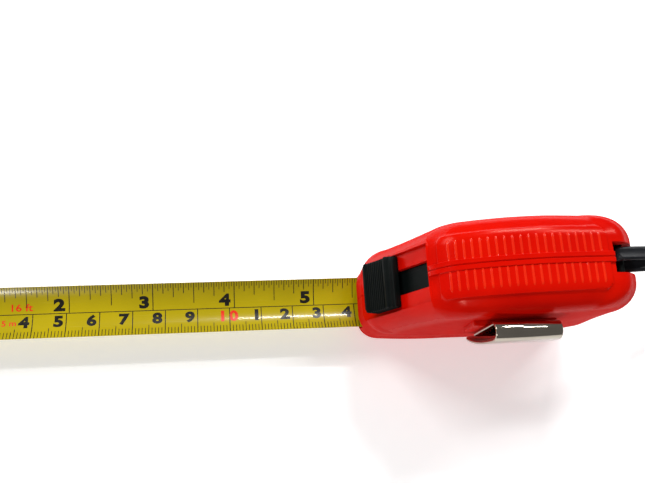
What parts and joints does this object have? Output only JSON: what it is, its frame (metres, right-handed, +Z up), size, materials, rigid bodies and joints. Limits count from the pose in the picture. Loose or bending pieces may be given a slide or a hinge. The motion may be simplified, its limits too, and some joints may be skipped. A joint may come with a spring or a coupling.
{
  "type": "tape measure",
  "caption": "Pocket tape measure with a sprung steel blade on a reel, a thumb lock, a belt clip and a wrist strap.",
  "frame": {"origin": "centre of the bounding box's footprint, without the strap, on the plane that the base stands on", "axes": "+X runs along the blade from its hook to the back of the case, +Y points out of the plain side away from the belt clip, +Z is up from the base"},
  "size_m": [0.3124, 0.0409, 0.0606],
  "materials": {
    "case_red": "glossy moulded ABS",
    "lock_black": "satin moulded ABS",
    "blade_yellow": "printed and lacquered spring steel",
    "steel": "zinc-plated",
    "hook_steel": "nickel-plated pressing",
    "spring_steel": "blued spring steel",
    "clip_chrome": "bright nickel plating",
    "reel_grey": "moulded acetal",
    "shoe_rubber": "matt rubber",
    "strap_black": "woven nylon"
  },
  "bodies": {
    "case": {"case_left": "case_red", "case_right": "case_red", "case_screw_1": "steel", "case_screw_2": "steel", "case_screw_3": "steel", "case_screw_4": "steel", "strap_pin": "steel", "arbor": "steel", "clip_screw": "steel", "wrist_strap": "strap_black"},
    "blade": {"blade_end": "blade_yellow", "blade_run": "blade_yellow", "hook_rivet_1": "steel", "hook_rivet_2": "steel"},
    "hook": {"end_hook": "hook_steel"},
    "reel": {"reel": "reel_grey", "reel_lid": "reel_grey", "blade_coil": "blade_yellow", "return_spring": "spring_steel"},
    "lock": {"lock_button": "lock_black", "lock_slider": "lock_black", "brake_shoe": "shoe_rubber"},
    "clip": {"belt_clip": "clip_chrome"}
  },
  "joints": [
    {"name": "blade_slide", "type": "slide", "parent": "case", "child": "blade", "axis": [-1, 0, 0], "range_m": [-0.139, 0.03], "deforming": ["blade_run", "blade_end"]},
    {"name": "hook_play", "type": "slide", "parent": "blade", "child": "hook", "axis": [1, 0, 0], "range_m": [0, 0.001]},
    {"name": "reel_spin", "type": "hinge", "parent": "case", "child": "reel", "pos_m": [0.07625, 0.0033, 0.032], "axis": [0, 1, 0], "range_deg": [-376, 82]},
    {"name": "lock_slide", "type": "slide", "parent": "case", "child": "lock", "axis": [0.4756, 0, 0.8796], "range_m": [0, 0.005]},
    {"name": "clip_flex", "type": "hinge", "parent": "case", "child": "clip", "pos_m": [0.07205, -0.0154, 0.0546], "axis": [-1, 0, 0], "range_deg": [0, 5], "stiffness_Nm_per_rad": 3, "deforming": ["belt_clip"]}
  ],
  "couplings": [
    {"joint": "reel_spin", "follows": "blade_slide", "rad_per_m": 47.17}
  ]
}
